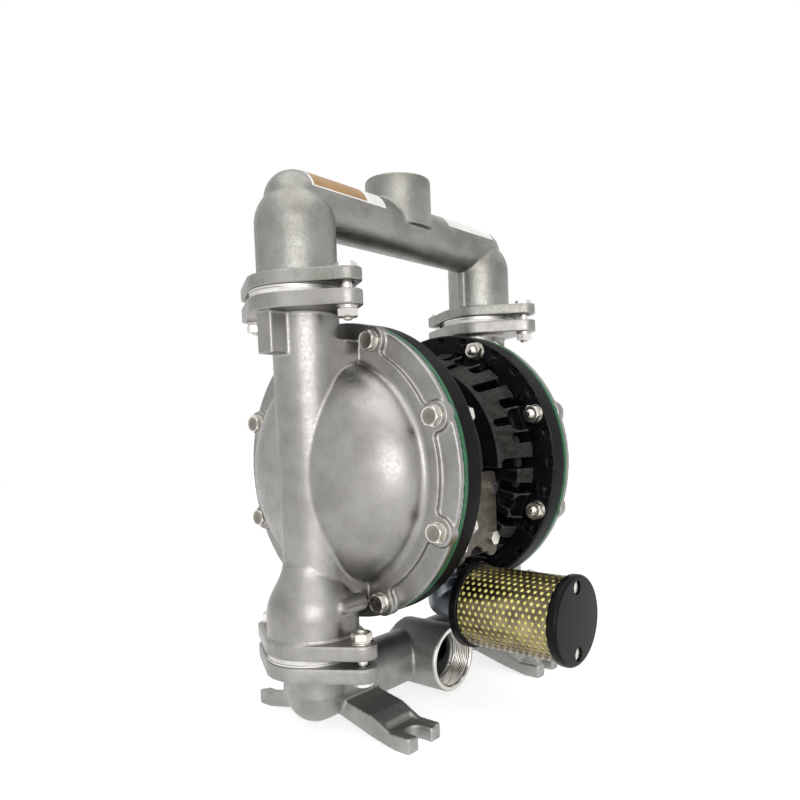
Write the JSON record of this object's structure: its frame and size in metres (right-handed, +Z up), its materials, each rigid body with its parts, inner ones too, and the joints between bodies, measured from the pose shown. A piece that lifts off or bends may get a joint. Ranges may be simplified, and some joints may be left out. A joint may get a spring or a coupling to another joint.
{
  "type": "air operated diaphragm pump",
  "caption": "Air operated double diaphragm pump in cast stainless steel with ball check valves, two-bolt flanged manifolds, slotted feet and a perforated exhaust muffler.",
  "frame": {"origin": "centre of the foot pattern on the floor", "axes": "+X along the pump shaft, -Y the front (inlet port and muffler), +Z up (outlet port)"},
  "size_m": [0.3884, 0.3705, 0.5572],
  "materials": {
    "cast_stainless": "satin",
    "cast_stainless_dark": "satin",
    "stainless_fittings": "polished",
    "plain_steel": "satin",
    "black_casting": "satin",
    "black_paint": "gloss",
    "green_rubber": "matte",
    "black_rubber": "matte",
    "white_ptfe": "matte",
    "bronze": "satin",
    "anodised": "satin",
    "brown_plate": "satin",
    "galvanised": "satin",
    "perforated_steel": "satin",
    "yellow_felt": "matte"
  },
  "bodies": {
    "housing": {"outlet_manifold": "cast_stainless", "inlet_manifold": "cast_stainless_dark", "left_outer_cover": "cast_stainless", "right_outer_cover": "cast_stainless", "left_air_chamber": "black_casting", "right_air_chamber": "black_casting", "left_diaphragm": "green_rubber", "right_diaphragm": "green_rubber", "left_outlet_seat": "white_ptfe", "right_outlet_seat": "white_ptfe", "left_inlet_seat": "white_ptfe", "right_inlet_seat": "white_ptfe", "left_chamber_screws": "plain_steel", "right_chamber_screws": "plain_steel", "left_cover_bolts": "stainless_fittings", "right_cover_bolts": "stainless_fittings", "left_cover_washers": "stainless_fittings", "right_cover_washers": "stainless_fittings", "left_cover_nuts": "stainless_fittings", "right_cover_nuts": "stainless_fittings", "left_valve_cap": "black_casting", "right_valve_cap": "black_casting", "shaft_bushes": "bronze", "shaft_seals": "black_rubber", "centre_block": "black_casting", "front_plate": "brown_plate", "plate_bolts": "stainless_fittings", "valve_gasket": "black_rubber", "air_valve_body": "black_casting", "valve_screws": "stainless_fittings", "exhaust_elbow": "galvanised", "exhaust_nipples": "galvanised", "muffler_inner_cap": "black_paint", "muffler_outer_cap": "black_paint", "muffler_sleeve": "perforated_steel", "filter_element": "yellow_felt", "muffler_screws": "stainless_fittings", "outlet_flange_bolts": "stainless_fittings", "outlet_flange_nuts": "stainless_fittings", "inlet_flange_bolts": "stainless_fittings", "inlet_flange_nuts": "stainless_fittings"},
    "shaft": {"pump_shaft": "stainless_fittings", "left_inner_washer": "plain_steel", "right_inner_washer": "plain_steel", "left_outer_washer": "stainless_fittings", "right_outer_washer": "stainless_fittings"},
    "spool": {"valve_spool": "anodised"},
    "rod": {"pilot_rod": "stainless_fittings"},
    "left_outlet_check": {"left_outlet_ball": "white_ptfe"},
    "right_outlet_check": {"right_outlet_ball": "white_ptfe"},
    "left_inlet_check": {"left_inlet_ball": "white_ptfe"},
    "right_inlet_check": {"right_inlet_ball": "white_ptfe"}
  },
  "joints": [
    {"name": "left_outlet_lift", "type": "slide", "parent": "housing", "child": "left_outlet_check", "axis": [0, 0, 1], "range_m": [0, 0.012]},
    {"name": "right_outlet_lift", "type": "slide", "parent": "housing", "child": "right_outlet_check", "axis": [0, 0, 1], "range_m": [0, 0.012]},
    {"name": "left_inlet_lift", "type": "slide", "parent": "housing", "child": "left_inlet_check", "axis": [0, 0, 1], "range_m": [0, 0.012]},
    {"name": "right_inlet_lift", "type": "slide", "parent": "housing", "child": "right_inlet_check", "axis": [0, 0, 1], "range_m": [0, 0.012]},
    {"name": "shaft_slide", "type": "slide", "parent": "housing", "child": "shaft", "axis": [1, 0, 0], "range_m": [-0.011, 0.011], "deforming": ["left_diaphragm", "right_diaphragm"]},
    {"name": "spool_slide", "type": "slide", "parent": "housing", "child": "spool", "axis": [1, 0, 0], "range_m": [-0.006, 0.006]},
    {"name": "pilot_slide", "type": "slide", "parent": "housing", "child": "rod", "axis": [1, 0, 0], "range_m": [-0.004, 0.004]}
  ],
  "couplings": [
    {"joint": "pilot_slide", "follows": "shaft_slide", "ratio": 0.36364}
  ]
}
